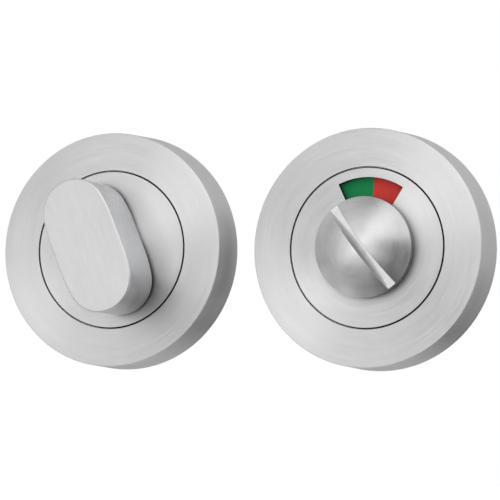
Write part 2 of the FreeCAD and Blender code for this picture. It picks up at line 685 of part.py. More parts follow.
def write_parts():
    """Check every object of the document, then write one STEP file for each piece."""
    for item in document.Objects:
        if "Invalid" in item.State or "Error" in item.State:
            raise RuntimeError(f"{item.Label} failed: {item.State}")
    for part in parts:
        if part.Shape.isNull() or not part.Shape.isValid() or not part.Shape.Solids:
            raise RuntimeError(f"{part.Label} has no sound solid")
    os.makedirs("parts", exist_ok=True)
    for part in parts:
        part.Shape.exportStep(f"parts/{part.Label}.step")
        box = part.Shape.BoundBox
        print(
            f"{part.Label}: {len(part.Shape.Solids)} solid, {part.Shape.Volume:.1f} mm3, "
            f"x {box.XMin:.2f} to {box.XMax:.2f}, y {box.YMin:.2f} to {box.YMax:.2f}, "
            f"z {box.ZMin:.2f} to {box.ZMax:.2f}"
        )


make_lock()
write_parts()
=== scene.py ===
"""Looks of the bathroom thumb turn lock: a pair of round roses in brushed stainless steel.

Lengths in this file are millimetres until a mesh is made, where they become metres. A height is the
distance from the door's face towards the front, so a height h lies at y = -h.
"""

import logging
import math
from dataclasses import dataclass, field, replace
from enum import Enum

import bmesh
import bpy
import numpy as np
from mathutils import Matrix, Vector

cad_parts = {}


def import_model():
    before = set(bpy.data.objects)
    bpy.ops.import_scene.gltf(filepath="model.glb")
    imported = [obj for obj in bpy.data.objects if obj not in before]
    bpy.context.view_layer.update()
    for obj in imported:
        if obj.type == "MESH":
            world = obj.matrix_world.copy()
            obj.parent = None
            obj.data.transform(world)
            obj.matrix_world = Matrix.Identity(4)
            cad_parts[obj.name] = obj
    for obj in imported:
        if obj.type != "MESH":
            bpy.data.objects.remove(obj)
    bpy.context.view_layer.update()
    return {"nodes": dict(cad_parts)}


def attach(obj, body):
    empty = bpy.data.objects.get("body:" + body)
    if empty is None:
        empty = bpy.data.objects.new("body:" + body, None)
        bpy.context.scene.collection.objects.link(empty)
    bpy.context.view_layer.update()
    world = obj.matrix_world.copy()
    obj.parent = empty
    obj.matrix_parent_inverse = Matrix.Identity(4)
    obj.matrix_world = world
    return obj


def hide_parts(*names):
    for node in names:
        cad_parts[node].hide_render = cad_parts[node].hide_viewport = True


METRES = 0.001
log = logging.getLogger("lock")


class Lay(Enum):
    """Way in which the brushing runs over a piece."""

    ROUND = "round the axis"
    ALONG = "along the knob"


class Outline(Enum):
    """Outline of one row of a turned piece, seen along its axis."""

    CIRCLE = 0
    SQUARE = 1
    FLATS = 2


class Sheet:
    """The node tree of one material or world, with short calls for the nodes that are used here."""

    def __init__(self, name: str, owners: bpy.types.bpy_prop_collection | None = None) -> None:
        """Start an empty tree.

        Args:
            name: Name of the material or world.
            owners: Blender's worlds for a world; its materials if left out.
        """
        self.material = (bpy.data.materials if owners is None else owners).new(name)
        self.material.use_nodes = True
        self.tree = self.material.node_tree
        self.tree.nodes.clear()

    def node(self, kind: str, **settings: object) -> bpy.types.Node:
        """Add a node.

        Args:
            kind: Blender's name of the node's class.
            **settings: Attributes of the node, by name.

        Returns:
            The new node.
        """
        made = self.tree.nodes.new(kind)
        for name, value in settings.items():
            setattr(made, name, value)
        return made

    def feed(self, target: bpy.types.NodeSocket, source: object) -> None:
        """Link a socket, or set it to a number, colour or vector.

        Args:
            target: Input socket.
            source: Output socket or constant.
        """
        if isinstance(source, bpy.types.NodeSocket):
            self.tree.links.new(source, target)
        else:
            target.default_value = source

    def math(self, operation: str, first: object, second: object = 0.0) -> bpy.types.NodeSocket:
        """Add a Math node.

        Args:
            operation: Name of the operation.
            first: First value or socket.
            second: Second value or socket.

        Returns:
            Socket with the result.
        """
        made = self.node("ShaderNodeMath", operation=operation)
        for socket, source in zip(made.inputs, (first, second)):
            self.feed(socket, source)
        return made.outputs[0]

    def mean(self, share: float, first: object, second: object) -> bpy.types.NodeSocket:
        """Weighted mean of two values.

        Args:
            share: Weight of the second value, 0 to 1.
            first: First value or socket.
            second: Second value or socket.

        Returns:
            Socket with the mean.
        """
        rest = self.math("MULTIPLY", first, 1.0 - share)
        return self.math("ADD", rest, self.math("MULTIPLY", second, share))

    def vector(self, operation: str, first: object, second: object = (0.0, 0.0, 0.0)) -> bpy.types.NodeSocket:
        """Add a Vector Math node.

        Args:
            operation: Name of the operation.
            first: First vector or socket.
            second: Second vector or socket.

        Returns:
            Socket with the resulting vector.
        """
        made = self.node("ShaderNodeVectorMath", operation=operation)
        self.feed(made.inputs[0], first)
        self.feed(made.inputs[1], second)
        return made.outputs[0]

    def split(self, vector: bpy.types.NodeSocket) -> tuple:
        """Part a vector.

        Args:
            vector: Socket with the vector.

        Returns:
            Sockets with its x, y and z.
        """
        made = self.node("ShaderNodeSeparateXYZ")
        self.feed(made.inputs[0], vector)
        return tuple(made.outputs)

    def combine(self, x: object, y: object, z: object) -> bpy.types.NodeSocket:
        """Join three numbers.

        Args:
            x: First part.
            y: Second part.
            z: Third part.

        Returns:
            Socket with the vector.
        """
        made = self.node("ShaderNodeCombineXYZ")
        for socket, source in zip(made.inputs, (x, y, z)):
            self.feed(socket, source)
        return made.outputs[0]

    def place(self) -> bpy.types.NodeSocket:
        """Socket with the object's own coordinates, in metres."""
        return self.node("ShaderNodeTexCoord").outputs["Object"]

    def seen(self) -> bpy.types.NodeSocket:
        """Socket with 1 for what the camera, gloss and glass see and 0 for what only lights."""
        path = self.node("ShaderNodeLightPath").outputs
        direct = self.math("MAXIMUM", path["Is Camera Ray"], path["Is Glossy Ray"])
        return self.math("MAXIMUM", direct, path["Is Transmission Ray"])

    def noise(
        self, place: object, scale: float, detail: float = 3.0, rough: float = 0.6
    ) -> bpy.types.NodeSocket:
        """Add a Noise Texture.

        Args:
            place: Socket with the coordinates.
            scale: Scale of the pattern.
            detail: Number of finer layers.
            rough: Strength of the finer layers.

        Returns:
            Socket with the value, about 0.5 in the middle.
        """
        made = self.node("ShaderNodeTexNoise")
        self.feed(made.inputs["Vector"], place)
        made.inputs["Scale"].default_value = scale
        made.inputs["Detail"].default_value = detail
        made.inputs["Roughness"].default_value = rough
        return made.outputs["Fac"]

    def spread(self, value: object, low: float, high: float) -> bpy.types.NodeSocket:
        """Stretch the middle of a noise, 0.3 to 0.7, over a range.

        Args:
            value: Socket with the noise.
            low: Result at 0.3.
            high: Result at 0.7.

        Returns:
            Socket with the clamped result.
        """
        made = self.node("ShaderNodeMapRange")
        self.feed(made.inputs["Value"], value)
        made.inputs["From Min"].default_value = 0.3
        made.inputs["From Max"].default_value = 0.7
        made.inputs["To Min"].default_value = low
        made.inputs["To Max"].default_value = high
        return made.outputs["Result"]

    def tint(self, share: object, first: object, second: object) -> bpy.types.NodeSocket:
        """Mix two colours.

        Args:
            share: Socket with the share of the second colour.
            first: Red, green and blue of the first colour, or a socket.
            second: Red, green and blue of the second colour, or a socket.

        Returns:
            Socket with the colour.
        """
        made = self.node("ShaderNodeMix", data_type="RGBA")
        self.feed(made.inputs["Factor"], share)
        for socket, colour in zip(made.inputs[6:8], (first, second)):
            self.feed(socket, (*colour, 1.0) if isinstance(colour, tuple) else colour)
        return made.outputs[2]

    def bump(self, height: object, distance: float, strength: float) -> bpy.types.NodeSocket:
        """Add a Bump node.

        Args:
            height: Socket with the height, 0 to 1.
            distance: Height of the relief in metres.
            strength: Share of the relief that is used.

        Returns:
            Socket with the normal.
        """
        made = self.node("ShaderNodeBump")
        made.inputs["Strength"].default_value = strength
        made.inputs["Distance"].default_value = distance
        self.feed(made.inputs["Height"], height)
        return made.outputs["Normal"]

    def surface(self, **sockets: object) -> bpy.types.Material:
        """Add the Principled shader and the output.

        Args:
            **sockets: Inputs of the shader by name, with _ for a space.

        Returns:
            The finished material.
        """
        shader = self.node("ShaderNodeBsdfPrincipled")
        for name, source in sockets.items():
            self.feed(shader.inputs[name.replace("_", " ")], source)
        output = self.node("ShaderNodeOutputMaterial")
        self.tree.links.new(shader.outputs[0], output.inputs["Surface"])
        return self.material


@dataclass(frozen=True)
class BrushedSteel:
    """Satin stainless steel with fine brushed lines.

    The lines run round the centre or along the knob. Coordinates along the lines change slowly and
    those across them quickly, so that the noise is drawn out into lines. The gloss is stretched
    across the lines by the shader's tangent, which is the normal crossed with the lines' direction.
    Below a given height and nearer the centre than a given radius, in gaps, on walls and on backs,
    the base colour turns near black: painted shade for the shadow that falls in those places.
    """

    name: str
    lay: Lay
    centre: float = 0.0
    turn: float = 0.0
    light: tuple = (0.735, 0.735, 0.737)
    dark: tuple = (0.635, 0.635, 0.637)
    roughness: float = 0.45
    anisotropy: float = 0.85
    lines_per_mm: float = 2.2
    relief: float = 0.0000012
    # painted shade: its near-black colour, the height below which and the radius within which it is painted
    painted_shade: tuple = (0.05, 0.05, 0.052)
    shade_under: float = 0.0
    shade_within: float = 1000.0
    broad_share: float = 0.38
    grain_share: float = 0.14

    def make(self) -> bpy.types.Material:
        """Build the material.

        Returns:
            The finished material.
        """
        sheet = Sheet(self.name)
        place = sheet.place()
        centred = sheet.vector("SUBTRACT", place, (self.centre * METRES, 0.0, 0.0))
        lay = self.round_lines if self.lay is Lay.ROUND else self.long_lines
        lines, way = lay(sheet, centred)
        carried = sheet.node(
            "ShaderNodeVectorTransform", vector_type="VECTOR", convert_from="OBJECT", convert_to="WORLD"
        )
        sheet.feed(carried.inputs[0], way)
        normal = sheet.node("ShaderNodeNewGeometry").outputs["Normal"]
        tangent = sheet.vector("NORMALIZE", sheet.vector("CROSS_PRODUCT", normal, carried.outputs[0]))

        fine = sheet.noise(lines, self.lines_per_mm, 5.0, 0.75)
        broad = sheet.noise(lines, self.lines_per_mm * 0.22, 2.0, 0.5)
        cloud = sheet.noise(place, 60.0, 2.0, 0.5)
        grain = sheet.noise(place, 4200.0, 1.0, 0.5)
        worn = sheet.mean(self.grain_share, sheet.mean(self.broad_share, fine, broad), grain)
        bright = sheet.tint(sheet.spread(worn, 0.0, 1.0), self.dark, self.light)
        rough = sheet.spread(fine, self.roughness - 0.05, self.roughness + 0.05)
        return sheet.surface(
            # base colour turns near black in the masked places: painted shade
            Base_Color=sheet.tint(self.hidden(sheet, centred), bright, self.painted_shade),
            Metallic=1.0,
            Roughness=sheet.math("ADD", rough, sheet.spread(cloud, -0.015, 0.015)),
            Anisotropic=self.anisotropy,
            Tangent=tangent,
            Normal=sheet.bump(worn, self.relief, 1.0),
        )

    def round_lines(self, sheet: Sheet, centred: bpy.types.NodeSocket) -> tuple:
        """Coordinates and direction of lines that run round the axis.

        Across the lines the coordinate is the radius less y, in millimetres, so it goes on over an
        edge. Along them it is the place on a circle of radius 0.9.

        Args:
            sheet: The material's tree.
            centred: Socket with the place seen from the centre.

        Returns:
            Sockets with the noise's coordinates and the direction of the lines.
        """
        x, y, z = sheet.split(centred)
        squares = sheet.math("ADD", sheet.math("MULTIPLY", x, x), sheet.math("MULTIPLY", z, z))
        radius = sheet.math("SQRT", squares)
        safe = sheet.math("MAXIMUM", radius, 1e-6)
        cosine, sine = sheet.math("DIVIDE", x, safe), sheet.math("DIVIDE", z, safe)
        across = sheet.math("MULTIPLY", sheet.math("SUBTRACT", radius, y), 1 / METRES)
        lines = sheet.combine(across, sheet.math("MULTIPLY", cosine, 0.9), sheet.math("MULTIPLY", sine, 0.9))
        return lines, sheet.combine(sine, 0.0, sheet.math("MULTIPLY", cosine, -1.0))

    def long_lines(self, sheet: Sheet, centred: bpy.types.NodeSocket) -> tuple:
        """Coordinates and direction of lines that run along the knob.

        Args:
            sheet: The material's tree.
            centred: Socket with the place seen from the centre.

        Returns:
            Sockets with the noise's coordinates and the direction of the lines.
        """
        mapping = sheet.node("ShaderNodeMapping")
        sheet.feed(mapping.inputs["Vector"], centred)
        angle = math.radians(self.turn)
        mapping.inputs["Rotation"].default_value = (0.0, -angle, 0.0)
        x, y, z = sheet.split(mapping.outputs[0])
        across = sheet.math("MULTIPLY", sheet.math("ADD", x, y), 1 / METRES)
        along = sheet.math("MULTIPLY", z, 0.07 / METRES)
        lines = sheet.combine(across, along, sheet.math("MULTIPLY", y, 0.05 / METRES))
        return lines, sheet.combine(math.sin(angle), 0.0, math.cos(angle))

    def hidden(self, sheet: Sheet, centred: bpy.types.NodeSocket) -> bpy.types.NodeSocket:
        """Mask of the gaps, walls and backs where shade is painted into the colour.

        Args:
            sheet: The material's tree.
            centred: Socket with the place seen from the centre.

        Returns:
            Socket with 1 there and 0 elsewhere.
        """
        x, y, z = sheet.split(centred)
        squares = sheet.math("ADD", sheet.math("MULTIPLY", x, x), sheet.math("MULTIPLY", z, z))
        # painted shade: below the height and nearer the centre than the radius
        low = sheet.math("GREATER_THAN", y, -self.shade_under * METRES)
        near = sheet.math("LESS_THAN", squares, (self.shade_within * METRES) ** 2)
        return sheet.math("MULTIPLY", low, near)


@dataclass(frozen=True)
class Enamel:
    """Sprayed colour with a faint orange peel and slightly uneven depth."""

    name: str
    colour: tuple
    deep: tuple

    def make(self) -> bpy.types.Material:
        """Build the material.

        Returns:
            The finished material.
        """
        sheet = Sheet(self.name)
        place = sheet.place()
        uneven = sheet.noise(place, 900.0, 3.0, 0.6)
        peel = sheet.noise(place, 3500.0, 2.0, 0.5)
        return sheet.surface(
            Base_Color=sheet.tint(sheet.spread(uneven, 0.0, 1.0), self.deep, self.colour),
            Roughness=sheet.spread(uneven, 0.50, 0.60),
            Specular_IOR_Level=0.1,
            Normal=sheet.bump(peel, 0.000004, 0.5),
        )


@dataclass(frozen=True)
class Casting:
    """Die-cast zinc: matt grey with a fine skin and flow marks."""

    name: str
    light: tuple = (0.56, 0.56, 0.57)
    dark: tuple = (0.40, 0.40, 0.415)

    def make(self) -> bpy.types.Material:
        """Build the material.

        Returns:
            The finished material.
        """
        sheet = Sheet(self.name)
        place = sheet.place()
        flow = sheet.noise(place, 140.0, 4.0, 0.6)
        skin = sheet.noise(place, 2600.0, 3.0, 0.65)
        return sheet.surface(
            Base_Color=sheet.tint(sheet.spread(flow, 0.0, 1.0), self.dark, self.light),
            Metallic=0.85,
            Roughness=sheet.spread(skin, 0.42, 0.62),
            Normal=sheet.bump(skin, 0.00002, 0.5),
        )


@dataclass(frozen=True)
class Acetal:
    """Moulded bearing plastic with a waxy surface."""

    name: str
    light: tuple = (0.80, 0.79, 0.74)
    dark: tuple = (0.72, 0.71, 0.66)

    def make(self) -> bpy.types.Material:
        """Build the material.

        Returns:
            The finished material.
        """
        sheet = Sheet(self.name)
        place = sheet.place()
        waxy = sheet.noise(place, 500.0, 2.0, 0.5)
        return sheet.surface(
            Base_Color=sheet.tint(sheet.spread(waxy, 0.0, 1.0), self.dark, self.light),
            Roughness=sheet.spread(waxy, 0.38, 0.5),
            Subsurface_Weight=0.08,
            Normal=sheet.bump(waxy, 0.00001, 0.3),
        )


@dataclass(frozen=True)
class DrawnSteel:
    """Bare or plated steel of the small hidden pieces, with fine lines from drawing or blanking."""

    name: str
    light: tuple
    dark: tuple
    roughness: float = 0.32
    stretch: tuple = (900.0, 60.0, 900.0)

    def make(self) -> bpy.types.Material:
        """Build the material.

        Returns:
            The finished material.
        """
        sheet = Sheet(self.name)
        place = sheet.place()
        mapping = sheet.node("ShaderNodeMapping")
        sheet.feed(mapping.inputs["Vector"], place)
        mapping.inputs["Scale"].default_value = self.stretch
        lines = sheet.noise(mapping.outputs[0], 1.0, 4.0, 0.7)
        stain = sheet.noise(place, 220.0, 3.0, 0.6)
        return sheet.surface(
            Base_Color=sheet.tint(sheet.spread(stain, 0.0, 1.0), self.dark, self.light),
            Metallic=1.0,
            Roughness=sheet.spread(lines, self.roughness - 0.07, self.roughness + 0.1),
            Normal=sheet.bump(lines, 0.000003, 0.8),
        )


def rounded(corners: list, segments: int = 6) -> np.ndarray:
    """Profile with its corners rounded.

    A corner P with legs a and b, unit vectors to its neighbours, and a rounding of length s is
    replaced by the curve P + s*(1-t)^2*a + s*t^2*b, a parabola that touches both legs, with one
    more point just outside it on each leg, so that the flats beside it shade as flats.

    Args:
        corners: (radius, height, rounding) triples; the profile closes on itself.
        segments: Steps in each rounding.

    Returns:
        Array of (radius, height) rows.
    """
    points = np.array([corner[:2] for corner in corners], float)
    rows = []
    steps = np.linspace(0.0, 1.0, segments + 1)[:, None]
    for index, (point, size) in enumerate(zip(points, [corner[2] for corner in corners])):
        if size <= 0:
            rows.append(point[None, :])
            continue
        back = points[index - 1] - point
        ahead = points[(index + 1) % len(points)] - point
        back /= np.linalg.norm(back)
        ahead /= np.linalg.norm(ahead)
        curve = point + size * (1 - steps) ** 2 * back + size * steps**2 * ahead
        rows.append(np.vstack([point + size * 1.25 * back, curve, point + size * 1.25 * ahead]))
    return np.vstack(rows)


def grid_faces(rows: int, columns: int, wrap_rows: bool, wrap_columns: bool) -> np.ndarray:
    """Quads of a grid whose vertex (i, j) has the number i * columns + j.

    Args:
        rows: Vertices in the first direction.
        columns: Vertices in the second direction.
        wrap_rows: Join the last row to the first.
        wrap_columns: Join the last column to the first.

    Returns:
        Array of four vertex numbers for each quad.
    """
    i = np.arange(rows if wrap_rows else rows - 1)[:, None]
    j = np.arange(columns if wrap_columns else columns - 1)[None, :]
    below = (i + 1) % rows
    beside = (j + 1) % columns
    corners = (i * columns + j, i * columns + beside, below * columns + beside, below * columns + j)
    return np.stack(np.broadcast_arrays(*corners), axis=-1).reshape(-1, 4)


def turned_rows(
    radii: np.ndarray,
    heights: np.ndarray,
    outlines: np.ndarray | None = None,
    flat: float = 1e9,
    columns: int = 256,
) -> np.ndarray:
    """Points of a turned surface, row by row.

    Row i at angle a lies at distance r from the axis and at y = -height. r is the row's radius for
    a circle, radius / max(|cos a|, |sin a|) for a square of that half width, and the smaller of
    radius and flat / |cos a| for a circle with two flats.

    Args:
        radii: Radius or half width of each row.
        heights: Height of each row.
        outlines: Number of the Outline of each row; all circles if left out.
        flat: Distance of the two flats from the axis.
        columns: Steps round the axis, a multiple of 8.

    Returns:
        Array of shape (rows, columns, 3), in millimetres.
    """
    angle = np.linspace(0.0, 2 * np.pi, columns, endpoint=False)[None, :]
    size = np.asarray(radii, float)[:, None]
    kind = np.zeros(len(size)) if outlines is None else np.asarray(outlines)
    kind = kind[:, None]
    square = size / np.maximum(np.abs(np.cos(angle)), np.abs(np.sin(angle)))
    cut = np.minimum(size, flat / np.maximum(np.abs(np.cos(angle)), 1e-9))
    reach = np.where(kind == Outline.SQUARE.value, square, np.where(kind == Outline.FLATS.value, cut, size))
    y = np.broadcast_to(-np.asarray(heights, float)[:, None], reach.shape)
    return np.stack([reach * np.cos(angle), y, reach * np.sin(angle)], axis=-1)


def tipped(points: np.ndarray, degrees: float, centre: float) -> np.ndarray:
    """Points turned about the Y direction, +Z towards +X, and moved along X to their axis.

    Args:
        points: Array whose last direction is x, y, z.
        degrees: Angle.
        centre: Place of the axis on X.

    Returns:
        Array of the same shape.
    """
    cosine, sine = math.cos(math.radians(degrees)), math.sin(math.radians(degrees))
    x, y, z = points[..., 0], points[..., 1], points[..., 2]
    return np.stack([x * cosine + z * sine + centre, y, z * cosine - x * sine], axis=-1)


def make_piece(name: str, shells: list, body: str, node: str, finish: bpy.types.Material) -> bpy.types.Object:
    """Mesh object from one or more closed shells, smooth with sharp edges kept.

    Args:
        name: Name of the piece.
        shells: (points, faces) pairs, points in millimetres.
        body: Body that it rides on.
        node: CAD node that it stands for, whole or in part.
        finish: Its material.

    Returns:
        The new object.
    """
    verts = []
    faces = []
    start = 0
    for points, quads in shells:
        flat = np.asarray(points, float).reshape(-1, 3)
        verts.append(flat)
        faces.append(np.asarray(quads) + start)
        start += len(flat)
    mesh = bpy.data.meshes.new(name)
    mesh.from_pydata((np.vstack(verts) * METRES).tolist(), [], np.vstack(faces).tolist())
    work = bmesh.new()
    work.from_mesh(mesh)
    bmesh.ops.remove_doubles(work, verts=work.verts, dist=1e-7)
    bmesh.ops.dissolve_degenerate(work, edges=work.edges, dist=1e-8)
    bmesh.ops.recalc_face_normals(work, faces=work.faces)
    work.to_mesh(mesh)
    work.free()
    mesh.polygons.foreach_set("use_smooth", np.ones(len(mesh.polygons), bool))
    mesh.set_sharp_from_angle(angle=math.radians(32))
    mesh.materials.append(finish)
    piece = bpy.data.objects.new(name, mesh)
    bpy.context.scene.collection.objects.link(piece)
    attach(piece, body)
    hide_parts(node)
    log.info("%s", name)
    return piece


def ring_shell(corners: list, columns: int = 256) -> tuple:
    """Closed ring of revolution from a closed profile.

    Args:
        corners: (radius, height, rounding) triples.
        columns: Steps round the axis.

    Returns:
        (points, faces).
    """
    profile = rounded(corners)
    points = turned_rows(profile[:, 0], profile[:, 1], columns=columns)
    return points, grid_faces(len(profile), columns, True, True)


@dataclass
class Rose:
    """Cover ring and centre plate of one half."""

    side: str
    centre: float
    steel: BrushedSteel
    depth: float = 10.0
    back_radius: float = 26.0
    front_radius: float = 25.7
    inner_radius: float = 24.3
    opening_radius: float = 17.48
    lip: float = 1.0
    edge: float = 0.22
    line_edge: float = 0.07
    plate_radius: float = 17.12
    flange_radius: float = 18.72
    flange: float = 0.5
    neck_hole: float = 6.65
    window: tuple | None = None
    window_turn: float = 0.0
    # painted shade starts this far below the front face and this far inside the opening
    bright_edge: float = 0.1

    def build(self) -> None:
        """Make the cover ring and the plate and let them replace their solids."""
        # painted shade: the gap round the plate, the window's walls and the backs turn near black a little
        # below the front face
        shade_under = self.depth - self.bright_edge
        shade_within = self.opening_radius - self.bright_edge
        finish = replace(self.steel, shade_under=shade_under, shade_within=shade_within).make()
        self.cover(finish)
        self.plate(finish)

    def cover(self, finish: bpy.types.Material) -> None:
        """Ring of revolution: tapered side, front face, lip and hollow back.

        Args:
            finish: Its material.
        """
        under = self.depth - self.lip
        corners = [
            (self.inner_radius, 0.0, 0.1),
            (self.back_radius, 0.0, 0.15),
            (self.front_radius, self.depth, self.edge),
            (self.opening_radius, self.depth, self.line_edge),
            (self.opening_radius, under, 0.0),
            (self.inner_radius, under, 0.2),
        ]
        points, faces = ring_shell(corners, 320)
        name = f"{self.side}_cover_rose"
        make_piece(f"{name}_turned", [(tipped(points, 0.0, self.centre), faces)], "roses", name, finish)

    def plate(self, finish: bpy.types.Material) -> None:
        """Flanged round plate, with the window where there is one.

        Args:
            finish: Its material.
        """
        name = f"{self.side}_centre_plate" if self.window is None else f"{self.side}_window_plate"
        rear = self.depth - self.lip - self.flange
        if self.window is None:
            corners = [
                (self.neck_hole, rear, 0.05),
                (self.flange_radius, rear, 0.05),
                (self.flange_radius, rear + self.flange, 0.0),
                (self.plate_radius, rear + self.flange, 0.0),
                (self.plate_radius, self.depth, self.line_edge),
                (self.neck_hole, self.depth, 0.12),
            ]
            shells = [ring_shell(corners, 320)]
        else:
            shells = [self.window_shell(rear)]
        shells = [(tipped(points, self.window_turn, self.centre), faces) for points, faces in shells]
        piece = make_piece(f"{name}_turned", shells, "roses", name, finish)
        if self.window is not None:
            self.soften(piece)

    def window_shell(self, rear: float) -> tuple:
        """Closed plate with a sector-shaped window.

        The front and the rear are polar grids over the same radii and angles. Quads between the
        window's radii and angles are left out of both, and a wall joins the two edges.

        Args:
            rear: Height of the plate's rear face.

        Returns:
            (points, faces).
        """
        inner, outer, half = self.window
        lip = rear + self.flange
        radii = np.concatenate([
            np.linspace(self.neck_hole, inner, 4),
            np.linspace(inner, outer, 6)[1:],
            [self.plate_radius],
        ])
        inside = np.radians(np.linspace(90 - half, 90 + half, 49))
        outside = np.radians(np.linspace(90 + half, 450 - half, 241))[1:-1]
        angles = np.concatenate([inside, outside])
        front = np.stack(np.broadcast_arrays(
            radii[:, None] * np.cos(angles), -self.depth, radii[:, None] * np.sin(angles)
        ), axis=-1)
        step = np.array([self.plate_radius, self.flange_radius, self.flange_radius])
        step_height = np.array([lip, lip, rear])
        edge = np.stack(np.broadcast_arrays(
            step[:, None] * np.cos(angles), -step_height[:, None], step[:, None] * np.sin(angles)
        ), axis=-1)
        back = np.stack(np.broadcast_arrays(
            radii[::-1, None] * np.cos(angles), -rear, radii[::-1, None] * np.sin(angles)
        ), axis=-1)
        points = np.concatenate([front, edge, back])
        rows, columns = points.shape[:2]
        faces = grid_faces(rows, columns, True, True)
        first = 3
        last = 8
        row = faces[:, 0] // columns
        column = faces[:, 0] % columns
        over = column < len(inside) - 1
        mirrored = rows - 1 - first
        hole = over & (((row >= first) & (row < last)) | ((row < mirrored) & (row >= rows - 1 - last)))
        faces = faces[~hole]
        across = np.arange(first, last + 1)
        along = np.arange(len(inside))
        loop = np.concatenate([
            first * columns + along,
            across[1:] * columns + along[-1],
            last * columns + along[::-1][1:],
            across[::-1][1:-1] * columns,
        ])
        level, place = loop // columns, loop % columns
        behind = (rows - 1 - level) * columns + place
        wall = np.stack([loop, np.roll(loop, -1), np.roll(behind, -1), behind], axis=-1)
        return points, np.vstack([faces, wall])

    def soften(self, piece: bpy.types.Object) -> None:
        """Break the sharp edges with a fine bevel.

        Args:
            piece: The plate.
        """
        bevel = piece.modifiers.new("broken_edges", "BEVEL")
        bevel.width = self.line_edge * METRES
        bevel.segments = 3
        bevel.limit_method = "ANGLE"
        bevel.angle_limit = math.radians(40)
        bevel.harden_normals = True


@dataclass
class Shank:
    """Neck and shank under either turn, with the circlip groove and the square socket."""

    neck_radius: float
    neck_top: float
    shoulder: float
    step: tuple = ()
    radius: float = 5.0
    groove_radius: float = 4.55
    groove_front: float = 1.62
    groove_back: float = 0.78
    end: float = 0.2
    socket_half: float = 2.55
    socket_depth: float = 10.0
    flat: float = 5.1

    def rows(self) -> tuple:
        """Rows from the neck's top back to the socket's floor.

        Returns:
            (radii, heights, outlines) arrays.
        """
        circle, square, flats = Outline.CIRCLE.value, Outline.SQUARE.value, Outline.FLATS.value
        table = [
            (self.neck_radius, self.neck_top, circle),
            (self.neck_radius, self.shoulder, circle),
        ]
        if self.step:
            step_radius, step_back = self.step
            table += [(step_radius, self.shoulder, flats), (step_radius, step_back, flats)]
        back = self.step[1] if self.step else self.shoulder
        table += [
            (self.radius, back, circle),
            (self.radius, self.groove_front, circle),
            (self.groove_radius, self.groove_front, circle),
            (self.groove_radius, self.groove_back, circle),
            (self.radius, self.groove_back, circle),
            (self.radius, self.end + 0.12, circle),
            (self.radius - 0.12, self.end, circle),
            (self.socket_half + 0.06, self.end, square),
            (self.socket_half, self.end + 0.06, square),
            (self.socket_half, self.end + self.socket_depth, square),
            (0.0, self.end + self.socket_depth, square),
        ]
        radii, heights, outlines = np.array(table).T
        return radii, heights, outlines


